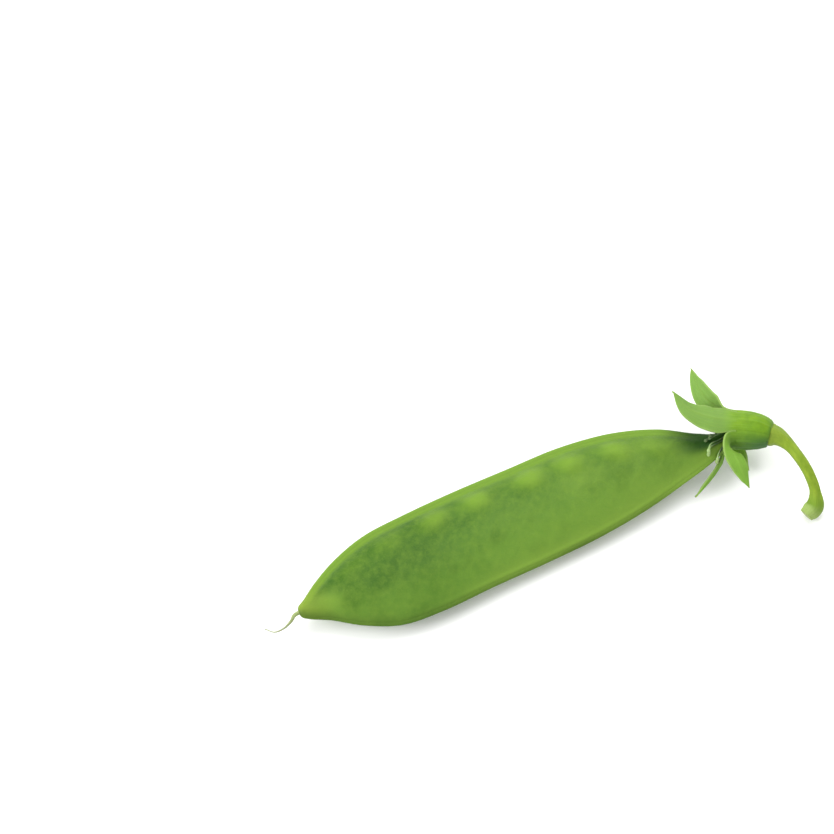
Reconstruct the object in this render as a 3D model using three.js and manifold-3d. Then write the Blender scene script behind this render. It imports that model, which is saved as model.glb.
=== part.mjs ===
// A snow pea pod as picked, lying on one of its two valves.
// Millimetres. +X runs from the beak to the calyx, +Y to the seed-bearing suture, +Z up.
// The origin is in the middle of the flat spot that the belly rests on.

import * as THREE from 'three';
import { mergeVertices } from 'three/addons/utils/BufferGeometryUtils.js';
import Module from 'manifold-3d';

const wasm = await Module();
wasm.setup();

// ---- pod ----
// Each station: place along the pod, height of the seed-bearing suture, height of the back suture.
const outline = [
  [-42.4, -0.3, -0.3],
  [-42.1, 0.8, -1.3],
  [-40.8, 1.7, -2.2],
  [-37.5, 4.2, -3.8],
  [-32.5, 7.1, -6.9],
  [-26.0, 9.5, -9.4],
  [-18.0, 10.6, -9.6],
  [-8.0, 11.4, -8.7],
  [3.0, 11.8, -8.0],
  [14.0, 12.0, -7.1],
  [24.0, 10.7, -5.6],
  [32.0, 7.9, -3.8],
  [38.0, 4.2, -2.3],
  [41.4, 2.5, -1.1],
  [43.2, 2.7, 0.0],
  [45.0, 2.6, 0.4],
  [46.6, 1.7, -0.2],
  [47.3, 0.5, 0.5],
];
const podHalfLength = 43;
const podThickness = 7.0;
const podWidest = 20.2;
const bellyHeight = 3.1;
const endLift = 2.0;
const endLiftSkew = 0.95;
const twistMiddle = 0.5;
const twistPerEnd = 3.5;
const neckFrom = 37;
const neckTo = 43.5;
const archPower = 1.45;
const lean = 0.15;
const taperPower = 0.75;
const slimWidth = 4;
const sutureLip = 1.0;
const sutureLipShare = 0.12;
const backLip = 0.5;
const backLipShare = 0.06;
const sutureHalfWidth = 1.0;
const sutureHalfHeight = 0.78;
const backHalfWidth = 0.8;
const backHalfHeight = 0.45;
const seedPlaces = [-30.4, -22.2, -13.3, -4.4, 6.2, 14.0, 22.7, 29.7];
const seedRise = [0.2, 0.35, 0.8, 0.85, 0.9, 0.85, 0.8, 0.5];
const seedLength = 2.8;
const seedBreadth = 2.3;
const seedFromSuture = 4.2;
const seedFlatness = 1.3;
const podSteps = { around: 36, along: 66 };
const endCrowding = 0.35;

// ---- calyx: a cup that bends towards the stem, with five lobes ----
const mouth = new THREE.Vector3(44.9, 1.7, 6.65);
const cupAxis = new THREE.Vector3(0.88, -0.45, 0.06).normalize();
const cupLength = 6.4;
const cupRadius = 3.6;
const cupEndRadius = 2.3;
const cupWall = 0.62;
const cupFullness = 3.0;
const cupRounding = 0.8;
const cupBendFrom = 1.0;
const cupBend = 14;
const cupSteps = { around: 28, along: 7 };
const socketDepth = 4.2;
const socketSteps = 4;
const rootDepth = 1.6;
const bladeThickness = 0.7;
const bladeSteps = { around: 14, along: 16 };
const lobeTip = 0.5;
const lobeRoot = 0.7;
const lobeBelly = 1.35;
const lobeBellyRise = 0.7;
const lobeBellyFall = 0.9;
const lobeTwistFrom = 0.1;
const lobeTwistTo = 0.7;
// Each lobe: angle round the mouth, full breadth, hollow of the blade, turn about its midrib, and
// the places that the midrib passes after the mouth: [forward over the pod, out from the axis, angle].
const lobes = [
  {
    angle: 86,
    breadth: 6.2,
    hollow: 0.8,
    twist: 0,
    route: [[4.4, 4.5, 90], [8.8, 5.9, 82], [12.0, 8.0, 62]],
  },
  {
    angle: 12,
    breadth: 5.8,
    hollow: 0.6,
    twist: 65,
    route: [[5.0, 5.2, 10], [7.5, 8.8, 7], [8.7, 11.8, 6]],
  },
  {
    angle: 152,
    breadth: 4.8,
    hollow: 0.5,
    twist: 60,
    route: [[0.8, 4.7, 158], [-0.8, 7.6, 172], [-2.8, 11.0, 190]],
  },
  {
    angle: 218,
    breadth: 2.8,
    hollow: 0.4,
    twist: 30,
    route: [[1.5, 4.9, 213], [3.8, 8.7, 203], [6.9, 12.8, 199]],
  },
  {
    angle: 284,
    breadth: 4.4,
    hollow: 0.4,
    twist: -30,
    route: [[1.0, 4.1, 276], [-0.8, 5.3, 252], [-2.8, 7.8, 223]],
  },
];

// ---- withered stamens: a sheath round the pod's neck with threads that lie over the valve ----
const sheathInner = 1.6;
const sheathOuter = 2.25;
const sheathForward = -0.4;
const sheathDepth = 2.8;
const sheathSteps = 22;
const threadRadius = 0.3;
const threadSteps = { around: 6, along: 12 };
// Each thread's places after the sheath: [forward over the pod, out from the axis, angle].
const threads = [
  [[1.4, 2.2, 112], [3.6, 2.9, 128], [6.4, 3.6, 146]],
  [[1.2, 2.4, 140], [3.4, 3.5, 157], [5.2, 4.4, 165], [5.6, 5.9, 174]],
  [[0.9, 2.9, 158], [2.4, 4.2, 166], [3.2, 5.5, 175], [3.3, 6.5, 184]],
];

// ---- stem and style ----
const stemRoute = [
  [52.4, -4.8, 7.0],
  [53.2, -8.0, 6.8],
  [53.8, -11.2, 5.5],
  [53.9, -14.0, 3.75],
  [53.0, -16.1, 2.2],
  [50.9, -16.9, 1.5],
];
const stemRadius = 1.0;
const stemCollar = 2.05;
const stemCollarTo = 0.3;
const stemCollarPower = 2;
const stemStraight = 1.1;
const stemKnob = 1.7;
const stemKnobFrom = 0.7;
const stemKnobTo = 0.9;
const stemBevel = 0.35;
const stemBevelFrom = 0.93;
const stemSteps = { around: 14, along: 26 };
const styleRoute = [
  [-44.2, -1.0, 3.5],
  [-45.6, -1.5, 3.0],
  [-47.4, -1.4, 2.4],
  [-49.0, 0.2, 1.9],
];
const styleRadius = 0.3;
const styleSteps = { around: 8, along: 20 };
const gap = 0.3;

const { lerp, smoothstep: smooth, degToRad: radians } = THREE.MathUtils;

const curve = (points) => new THREE.CatmullRomCurve3(points.map((p) => new THREE.Vector3(...p)));

// A ball's skin moved to place(along, around), with both from 0 to 1. Its two poles close the ends.
function closedSkin(steps, place) {
  const ball = new THREE.SphereGeometry(1, steps.around, steps.along);
  const uv = ball.attributes.uv;
  for (let i = 0; i < uv.count; i++) {
    const spot = place(1 - uv.getY(i), 1 - uv.getX(i));
    ball.attributes.position.setXYZ(i, spot.x, spot.y, spot.z);
  }
  return bare(ball);
}

// Only positions, with the vertices along seams made one.
function bare(geometry) {
  geometry.deleteAttribute('normal');
  geometry.deleteAttribute('uv');
  return mergeVertices(geometry);
}

// The valves' bulge at this distance from the seed-bearing suture: a lens between the two ribs,
// thicker near the suture and swollen over each seed.
function valveRise(x, width, fromSuture) {
  const front = Math.min(sutureLip, sutureLipShare * width);
  const rear = Math.min(backLip, backLipShare * width);
  const across = 1 - (2 * (fromSuture - front)) / (width - front - rear);
  const arch = Math.sqrt(Math.max(0, 1 - across * across));
  const thickness = podThickness * Math.pow(Math.min(1, width / podWidest), taperPower);
  return Math.pow(arch, archPower) * (0.5 * thickness * (1 + lean * across) + seedSwell(x, fromSuture));
}

function seedSwell(x, fromSuture) {
  const across = (fromSuture - seedFromSuture) / seedBreadth;
  const swell = (place, k) => {
    const along = (x - place) / seedLength;
    return seedRise[k] * Math.exp(-Math.pow(along * along + across * across, seedFlatness));
  };
  return seedPlaces.map(swell).reduce((sum, rise) => sum + rise);
}

// A round rib whose own edge is the pod's edge.
function ribRise(fromEdge, halfWidth, halfHeight) {
  const off = fromEdge / halfWidth - 1;
  return halfHeight * Math.sqrt(Math.max(0, 1 - off * off));
}

// Half the pod's thickness: the valve or a suture's rib, and a round neck inside the calyx.
function halfThickness(x, width, fromSuture) {
  const slim = Math.min(1, width / slimWidth);
  const front = ribRise(fromSuture, slim * sutureHalfWidth, slim * sutureHalfHeight);
  const rear = ribRise(width - fromSuture, slim * backHalfWidth, slim * backHalfHeight);
  const lens = Math.max(valveRise(x, width, fromSuture), front, rear);
  const neck = Math.sqrt(Math.max(0, fromSuture * (width - fromSuture)));
  return lerp(lens, neck, smooth(x, neckFrom, neckTo));
}

// Height of the middle plane between the valves: a shallow rocker with a slight twist.
function middleHeight(x, y) {
  const s = x / podHalfLength;
  const twist = radians(twistMiddle + twistPerEnd * s);
  return bellyHeight + endLift * s * s + endLiftSkew * s ** 3 + y * Math.tan(twist);
}

function makePod() {
  const suture = curve(outline.map(([x, high]) => [x, high, 0]));
  const back = curve(outline.map(([x, , low]) => [x, low, 0]));
  return closedSkin(podSteps, (along, around) => {
    const eased = lerp(along, smooth(along, 0, 1), endCrowding);
    const station = suture.getUtoTmapping(eased);
    const high = suture.getPoint(station);
    const low = back.getPoint(station);
    const width = high.y - low.y;
    const turn = 2 * Math.PI * around;
    const share = 0.5 - 0.5 * Math.cos(turn);
    const spot = high.lerp(low, share);
    const rise = width > 0 ? halfThickness(spot.x, width, share * width) : 0;
    spot.z = Math.max(0, middleHeight(spot.x, spot.y) + Math.sign(Math.sin(turn)) * rise);
    return spot;
  });
}

// Ways ahead, across and out at steps along a curve. The way across starts as side and is carried
// along without turning about the curve.
function carriedFrames(path, side, count) {
  const frames = [];
  let across = side;
  for (let k = 0; k < count; k++) {
    const s = k / (count - 1);
    const ahead = path.getTangentAt(s);
    across = across.clone().addScaledVector(ahead, -across.dot(ahead)).normalize();
    frames.push({ s, centre: path.getPointAt(s), ahead, across });
  }
  return frames;
}

// A closed bar along a curve with flat ends. shape(s) gives its breadth, its thickness, how far its
// edges bend down and how far it has turned about the curve.
function bar(path, side, steps, shape) {
  const frames = carriedFrames(path, side, steps.along - 1);
  return closedSkin(steps, (along, around) => {
    const ring = Math.round(along * steps.along) - 1;
    const frame = frames[THREE.MathUtils.clamp(ring, 0, frames.length - 1)];
    const { s, ahead } = frame;
    const spot = frame.centre.clone();
    if (ring < 0 || ring === frames.length) return spot;
    const { breadth, thickness, hollow = 0, twist = 0 } = shape(s);
    const across = frame.across.clone().applyAxisAngle(ahead, twist);
    const out = ahead.clone().cross(across);
    const turn = 2 * Math.PI * around;
    const reach = Math.cos(turn);
    spot.addScaledVector(across, 0.5 * breadth * reach);
    return spot.addScaledVector(out, 0.5 * thickness * Math.sin(turn) - hollow * reach * reach);
  });
}

function roundBar(path, side, steps, radius) {
  return bar(path, side, steps, (s) => ({ breadth: 2 * radius(s), thickness: 2 * radius(s) }));
}

function solidOf(geometry) {
  const vertProperties = geometry.attributes.position.array;
  const triVerts = new Uint32Array(geometry.index.array);
  return new wasm.Manifold(new wasm.Mesh({ numProp: 3, vertProperties, triVerts }));
}

function geometryOf(solid) {
  const mesh = solid.getMesh();
  const geometry = new THREE.BufferGeometry();
  geometry.setAttribute('position', new THREE.BufferAttribute(mesh.vertProperties, 3));
  geometry.setIndex(new THREE.BufferAttribute(mesh.triVerts, 1));
  return geometry;
}

// A place in the calyx's own frame, with its mouth at the origin and the stem towards +Z, after the
// axis has been bent along an arc towards -X.
function bentBack(x, y, back) {
  const reach = Math.max(0, back - cupBendFrom);
  const turn = (radians(cupBend) * reach) / (cupLength - cupBendFrom);
  const arcRadius = (cupLength - cupBendFrom) / radians(cupBend);
  const side = x * Math.cos(turn) - arcRadius * (1 - Math.cos(turn));
  const rise = Math.min(back, cupBendFrom) + arcRadius * Math.sin(turn) + x * Math.sin(turn);
  return new THREE.Vector3(side, y, rise);
}

// The cup's outer radius: full at the mouth, rounding in towards the stem.
function cupOuter(back) {
  const share = Math.min(1, back / cupLength);
  return lerp(cupEndRadius, cupRadius, Math.pow(1 - Math.pow(share, cupFullness), cupRounding));
}

function makeCup() {
  const profile = [new THREE.Vector2(0, socketDepth)];
  for (let k = socketSteps; k >= 0; k--) {
    const back = (socketDepth * k) / socketSteps;
    profile.push(new THREE.Vector2(cupOuter(back) - cupWall, back));
  }
  for (let k = 0; k <= cupSteps.along; k++) {
    const back = (cupLength * k) / cupSteps.along;
    profile.push(new THREE.Vector2(cupOuter(back), back));
  }
  profile.push(new THREE.Vector2(0, cupLength));
  const cup = bare(new THREE.LatheGeometry(profile, cupSteps.around).rotateX(Math.PI / 2));
  const place = cup.attributes.position;
  for (let i = 0; i < place.count; i++) {
    place.setXYZ(i, ...bentBack(place.getX(i), place.getY(i), place.getZ(i)));
  }
  return cup;
}

function lobePoint(forward, out, angle) {
  const turn = radians(angle);
  return [out * Math.cos(turn), out * Math.sin(turn), -forward];
}

// One pointed lobe, rooted in the cup's wall.
function makeLobe({ angle, breadth, hollow, twist, route }) {
  const wall = cupRadius - 0.5 * cupWall;
  const root = [lobePoint(-rootDepth, wall, angle), lobePoint(0, wall, angle)];
  const path = curve([...root, ...route.map((place) => lobePoint(...place))]);
  const side = new THREE.Vector3(-Math.sin(radians(angle)), Math.cos(radians(angle)), 0);
  return bar(path, side, bladeSteps, (s) => {
    const belly = lobeBelly * Math.pow(s, lobeBellyRise) * Math.pow(1 - s, lobeBellyFall);
    const spread = lobeRoot * (1 - s) + belly;
    return {
      breadth: Math.max(lobeTip, breadth * spread),
      thickness: bladeThickness,
      hollow: hollow * spread,
      twist: radians(twist) * smooth(s, lobeTwistFrom, lobeTwistTo),
    };
  });
}

function joined(geometries) {
  return geometryOf(geometries.map(solidOf).reduce((whole, piece) => whole.add(piece)));
}

function makeCalyx() {
  return joined([makeCup(), ...lobes.map(makeLobe)]);
}

function makeSheath() {
  const corners = [
    [sheathInner, -sheathForward],
    [sheathOuter, -sheathForward],
    [sheathOuter, sheathDepth],
    [sheathInner, sheathDepth],
    [sheathInner, -sheathForward],
  ];
  const profile = corners.map((corner) => new THREE.Vector2(...corner));
  return bare(new THREE.LatheGeometry(profile, sheathSteps).rotateX(Math.PI / 2));
}

function makeThread(route) {
  const middle = 0.5 * (sheathInner + sheathOuter);
  const angle = route[0][2];
  const places = [[-rootDepth, middle, angle], [sheathForward, middle, angle], ...route];
  const path = curve(places.map((place) => lobePoint(...place)));
  return roundBar(path, new THREE.Vector3(0, 1, 0), threadSteps, () => threadRadius);
}

function makeStamens() {
  return joined([makeSheath(), ...threads.map(makeThread)]);
}

// From the calyx's bent end to the hooked, swollen end. toPlace turns places in the calyx's frame.
function makeStem(toPlace) {
  const start = toPlace(bentBack(0, 0, cupLength + gap));
  const straight = toPlace(bentBack(0, 0, cupLength + gap + stemStraight));
  const path = curve([start.toArray(), straight.toArray(), ...stemRoute]);
  return roundBar(path, new THREE.Vector3(0, 0, 1), stemSteps, (s) => {
    const taper = Math.pow(Math.max(0, 1 - s / stemCollarTo), stemCollarPower);
    const collar = (stemCollar - stemRadius) * taper;
    const knob = (stemKnob - stemRadius) * smooth(s, stemKnobFrom, stemKnobTo);
    return stemRadius + collar + knob - stemBevel * smooth(s, stemBevelFrom, 1);
  });
}

function makeStyle() {
  const [beak, height] = outline[0];
  const start = [beak - styleRadius - gap, height, middleHeight(beak, height)];
  return roundBar(curve([start, ...styleRoute]), new THREE.Vector3(0, 0, 1), styleSteps, () => styleRadius);
}

function named(name, geometry, color, roughness) {
  geometry.computeVertexNormals();
  const material = new THREE.MeshStandardMaterial({ color, roughness, metalness: 0 });
  const mesh = new THREE.Mesh(geometry, material);
  mesh.name = name;
  return mesh;
}

const group = new THREE.Group();
group.add(named('pod', makePod(), 0x6f9a3e, 0.42));

// The calyx's frame: +X towards the pod's seed-bearing side, +Y up, +Z back along the stem.
const head = new THREE.Group();
const ventral = new THREE.Vector3(0, 0, 1).cross(cupAxis).normalize();
const upward = cupAxis.clone().cross(ventral);
head.position.copy(mouth);
head.quaternion.setFromRotationMatrix(new THREE.Matrix4().makeBasis(ventral, upward, cupAxis));
head.updateMatrixWorld();
head.add(named('calyx', makeCalyx(), 0x84ad58, 0.5));
head.add(named('stamens', makeStamens(), 0xc3c79a, 0.8));
group.add(head);

group.add(named('stem', makeStem((place) => head.localToWorld(place)), 0x9db845, 0.5));
group.add(named('style', makeStyle(), 0xa9ad84, 0.8));

export default group;
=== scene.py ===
import math

import bpy
import numpy as np
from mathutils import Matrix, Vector


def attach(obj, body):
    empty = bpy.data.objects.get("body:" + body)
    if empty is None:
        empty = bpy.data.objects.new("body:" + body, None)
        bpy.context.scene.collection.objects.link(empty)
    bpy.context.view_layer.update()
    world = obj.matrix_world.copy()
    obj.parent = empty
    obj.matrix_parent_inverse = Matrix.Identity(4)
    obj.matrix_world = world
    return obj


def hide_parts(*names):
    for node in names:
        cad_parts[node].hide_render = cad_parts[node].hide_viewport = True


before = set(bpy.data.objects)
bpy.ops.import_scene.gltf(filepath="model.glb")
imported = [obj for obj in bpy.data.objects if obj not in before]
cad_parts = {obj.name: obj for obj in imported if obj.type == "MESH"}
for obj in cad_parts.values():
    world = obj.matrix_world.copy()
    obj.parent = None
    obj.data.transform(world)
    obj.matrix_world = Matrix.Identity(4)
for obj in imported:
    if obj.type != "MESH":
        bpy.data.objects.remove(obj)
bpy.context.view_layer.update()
mm = 0.001  # the dictionaries below are in millimetres and degrees, the scene is in metres
print("frame loaded:", sorted(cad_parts))


def smooth(value, low, high):
    # 0 below low, 1 above high, an S between them
    t = np.clip((value - low) / (high - low), 0.0, 1.0)
    return t * t * (3.0 - 2.0 * t)


def blendMax(a, b, soft):
    # the larger of two heights, with a fillet of about this size where they meet
    near = np.clip(0.5 + 0.5 * (a - b) / np.maximum(soft, 1e-6), 0.0, 1.0)
    return b + (a - b) * near + soft * near * (1.0 - near)


def unit(vectors):
    return vectors / np.maximum(np.linalg.norm(vectors, axis=-1, keepdims=True), 1e-12)


def splineAt(points, station):
    # centripetal Catmull-Rom: cubics between neighbours, slopes weighed by the roots of the gaps' lengths
    points = np.asarray(points, float)
    knots = np.concatenate([2.0 * points[:1] - points[1:2], points, 2.0 * points[-1:] - points[-2:-1]])
    place = np.clip(np.asarray(station, float), 0.0, 1.0) * (len(points) - 1)
    k = np.minimum(place.astype(int), len(points) - 2)
    t = (place - k)[..., None]
    p0, p1, p2, p3 = (knots[k + i] for i in range(4))
    gap = np.sqrt(np.linalg.norm(np.diff(knots, axis=0), axis=1))
    d0, d1, d2 = (gap[k + i][..., None] for i in range(3))
    m1 = ((p1 - p0) / d0 - (p2 - p0) / (d0 + d1) + (p2 - p1) / d1) * d1
    m2 = ((p2 - p1) / d1 - (p3 - p1) / (d1 + d2) + (p3 - p2) / d2) * d1
    return p1 + t * m1 + t ** 2 * (3.0 * (p2 - p1) - 2.0 * m1 - m2) + t ** 3 * (2.0 * (p1 - p2) + m1 + m2)


def evenStations(points, share):
    # the spline's own station at each share of its length
    fine = np.linspace(0.0, 1.0, 1600)
    steps = np.linalg.norm(np.diff(splineAt(points, fine), axis=0), axis=1)
    return np.interp(share, np.concatenate([[0.0], np.cumsum(steps)]) / steps.sum(), fine)


def carriedFrames(points, side, share):
    # centre, ahead, across and out along a spline; the way across slides along without turning about it
    centre = splineAt(points, evenStations(points, share))
    ahead = unit(np.gradient(centre, axis=0))
    across = np.empty_like(ahead)
    current = np.asarray(side, float)
    for k in range(len(share)):
        current = unit(current - ahead[k] * np.dot(current, ahead[k]))
        across[k] = current
    return centre, ahead, across, np.cross(ahead, across)


def ripple(u, v, size, seed, waves=9):
    # a smooth random field between about -1 and 1: sine waves of about this length in random directions
    draw = np.random.default_rng(seed)
    heading = draw.uniform(0.0, 2.0 * math.pi, waves)
    phase = draw.uniform(0.0, 2.0 * math.pi, waves)
    length = size * draw.uniform(0.7, 1.5, waves)
    field = np.zeros(np.broadcast(u, v).shape)
    for angle, shift, pitch in zip(heading, phase, length):
        field += np.sin(2.0 * math.pi * (u * math.cos(angle) + v * math.sin(angle)) / pitch + shift)
    return field / (0.8 * waves ** 0.5 * 2.0)


def gridFaces(ids):
    # quads between rows and columns of point numbers; they face along (across the columns) x (down the rows)
    return np.stack([ids[:-1, :-1], ids[:-1, 1:], ids[1:, 1:], ids[1:, :-1]], -1).reshape(-1, 4)


def fanFaces(middle, ring):
    # triangles from one point to a ring
    return np.stack([np.full(len(ring) - 1, middle), ring[:-1], ring[1:]], -1)


def wrappedIds(rings, around):
    # the point numbers of rings, each with its first number again at its end
    ids = np.arange(rings * around).reshape(rings, around)
    return np.concatenate([ids, ids[:, :1]], axis=1)


def angles(count):
    # the angles of a ring's points, in radians
    return np.linspace(0.0, 2.0 * math.pi, count, endpoint=False)[None, :]


def swept(centre, across, out, aside, rise):
    # rows of points along a centre line, each this far to its side and this far out from it
    return centre[:, None] + across[:, None] * aside[..., None] + out[:, None] * rise[..., None]


def closedTube(grid, poles, masks):
    # rings that turn counter-clockwise seen against the path, closed by a point at each end
    rings, around = grid.shape[:2]
    ids = wrappedIds(rings, around)
    first, last = rings * around, rings * around + 1
    faces = [gridFaces(ids), fanFaces(first, ids[0, ::-1]), fanFaces(last, ids[-1])]
    points = np.concatenate([grid.reshape(-1, 3), np.asarray(poles, float)])
    masks = {key: np.concatenate([m.ravel(), [m[0].mean(), m[-1].mean()]]) for key, m in masks.items()}
    return points, faces, masks


def putObject(name, data):
    piece = bpy.data.objects.new(name, data)
    bpy.context.scene.collection.objects.link(piece)
    return piece


def putMesh(name, parts):
    # one mesh of one or more bodies, each with its points in millimetres, its blocks of faces and its masks
    points = np.concatenate([part[0] for part in parts])
    starts = np.cumsum([0] + [len(part[0]) for part in parts])
    faces = []
    for start, part in zip(starts, parts):
        for block in part[1]:
            faces += (block + start).tolist()
    mesh = bpy.data.meshes.new(name)
    mesh.from_pydata((points * mm).tolist(), [], faces)
    for key in parts[0][2]:
        layer = mesh.attributes.new(key, "FLOAT", "POINT")
        layer.data.foreach_set("value", np.concatenate([part[2][key] for part in parts]).astype(np.float32))
    mesh.shade_smooth()
    mesh.update()
    return putObject(name, mesh)


def dress(piece, node, material):
    # the piece gets its material and stands in for one node of the part
    piece.data.materials.append(material)
    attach(piece, "root")
    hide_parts(node)


paintDepth = 0.61  # the share of a screen colour's light that its paint keeps, for the bright studio


def paint(red, green, blue):
    # a screen colour from 0 to 255 as the shader's linear colour, by the curve that screens use
    share = np.array([red, green, blue]) / 255.0
    linear = np.where(share <= 0.04045, share / 12.92, ((share + 0.055) / 1.055) ** 2.4)
    return (*(paintDepth * linear).tolist(), 1.0)


class Finish:
    # a material's node tree, with a short word for each kind of node
    def __init__(self, name):
        self.material = bpy.data.materials.new(name)
        self.material.use_nodes = True
        self.tree = self.material.node_tree
        self.shader = self.tree.nodes["Principled BSDF"]
        self.place = self.tree.nodes.new("ShaderNodeTexCoord").outputs["Object"]

    def add(self, kind, inputs, **settings):
        node = self.tree.nodes.new(kind)
        for key, value in settings.items():
            setattr(node, key, value)
        for key, value in inputs.items():
            if isinstance(value, bpy.types.NodeSocket):
                self.tree.links.new(value, node.inputs[key])
            else:
                node.inputs[key].default_value = value
        return node

    def mask(self, name):
        return self.add("ShaderNodeAttribute", {}, attribute_name=name).outputs["Fac"]

    def stretched(self, scale):
        return self.add("ShaderNodeMapping", {"Vector": self.place, "Scale": scale}).outputs[0]

    def vectors(self, kind, inputs):
        return self.add("ShaderNodeVectorMath", inputs, operation=kind).outputs[0]

    def wandering(self, reach, size, scale):
        # the object's own coordinates, stretched, and pushed about by up to this many millimetres
        inputs = {"Vector": self.place, "Scale": 1.0 / (size * mm), "Detail": 2.0}
        push = self.add("ShaderNodeTexNoise", inputs).outputs["Color"]
        push = self.vectors("SUBTRACT", {0: push, 1: (0.5, 0.5, 0.5)})
        push = self.vectors("SCALE", {0: push, "Scale": 2.0 * reach * mm})
        return self.vectors("ADD", {0: self.stretched(scale), 1: push})

    def grain(self, size, detail=3.0, roughness=0.5, place=None):
        # a cloudy pattern with features of about this many millimetres
        inputs = {"Vector": place or self.place, "Scale": 1.0 / (size * mm)}
        inputs |= {"Detail": detail, "Roughness": roughness}
        return self.add("ShaderNodeTexNoise", inputs).outputs["Fac"]

    def net(self, size, place=None):
        # distance to the borders between cells of about this many millimetres
        inputs = {"Vector": place or self.place, "Scale": 1.0 / (size * mm)}
        return self.add("ShaderNodeTexVoronoi", inputs, feature="DISTANCE_TO_EDGE").outputs["Distance"]

    def range(self, value, low, high, start=0.0, end=1.0):
        inputs = {"Value": value, "From Min": low, "From Max": high, "To Min": start, "To Max": end}
        return self.add("ShaderNodeMapRange", inputs, clamp=True).outputs["Result"]

    def maths(self, kind, first, second=0.0):
        return self.add("ShaderNodeMath", {0: first, 1: second}, operation=kind).outputs[0]

    def blend(self, share, first, second):
        # sockets 6 and 7 are the mix node's two colours, and output 2 is its colour
        return self.add("ShaderNodeMix", {0: share, 6: first, 7: second}, data_type="RGBA").outputs[2]

    def tinted(self, color, tints):
        # each over the one before: the mask that it follows, its strength where that is 1, its screen colour
        for name, strength, screenColor in tints:
            share = self.maths("MULTIPLY", self.mask(name), strength)
            color = self.blend(share, color, paint(*screenColor))
        return color

    def bump(self, height, depth, before=None):
        inputs = {"Height": height, "Distance": depth * mm, "Strength": 1.0}
        if before:
            inputs["Normal"] = before
        return self.add("ShaderNodeBump", inputs).outputs["Normal"]

    def finish(self, color, rough, normal, **fixed):
        link = self.tree.links.new
        link(color, self.shader.inputs["Base Color"])
        link(rough, self.shader.inputs["Roughness"])
        link(normal, self.shader.inputs["Normal"])
        for key, value in fixed.items():
            self.shader.inputs[key.replace("_", " ")].default_value = value
        return self.material


leafRadius = (0.7, 1.0, 0.3)  # how far red, green and blue light spread inside green tissue, as shares


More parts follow.
